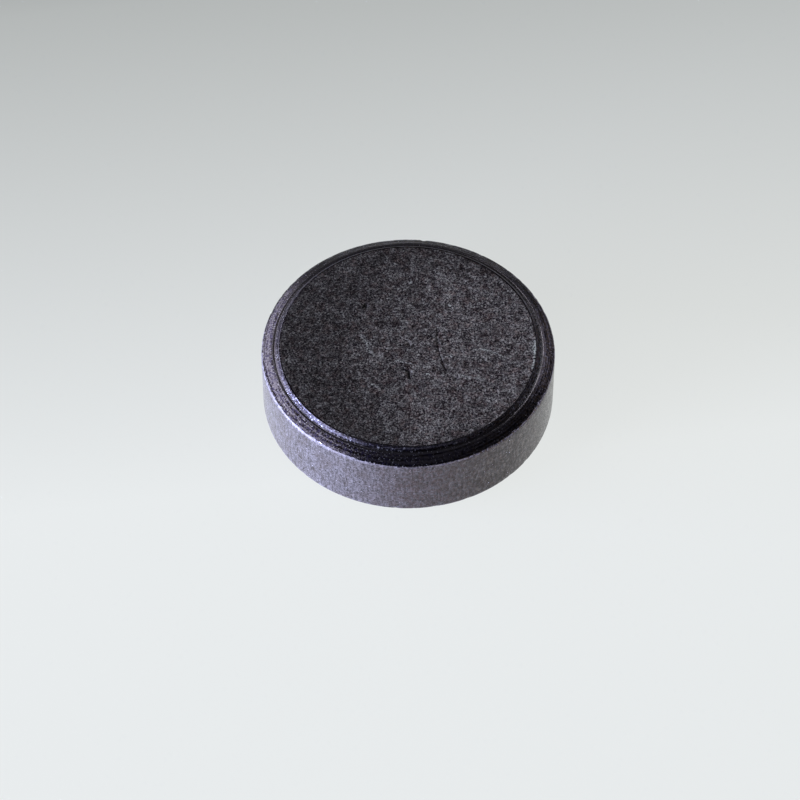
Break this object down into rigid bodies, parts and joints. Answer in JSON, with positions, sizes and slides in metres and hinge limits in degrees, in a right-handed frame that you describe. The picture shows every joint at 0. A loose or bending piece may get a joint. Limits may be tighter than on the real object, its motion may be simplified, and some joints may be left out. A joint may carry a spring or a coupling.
{
  "type": "cylinder magnet",
  "caption": "Flat round sintered magnet: dark grey disc with matt pole faces, each ringed by a sloping shoulder, a shallow groove and a bevel, and a straight side wall.",
  "frame": {"origin": "centre of the lower pole face", "axes": "+Z along the disc's axis, from the lower pole face to the upper one; X and Y are any two directions across it"},
  "size_m": [0.016, 0.016, 0.0047],
  "materials": {
    "sintered_ferrite": "sintered ferrite, matt granular pole faces, dull die-drawn side wall, dark burnished bevels"
  },
  "bodies": {
    "root": {"magnet_body": "sintered_ferrite"}
  },
  "joints": []
}
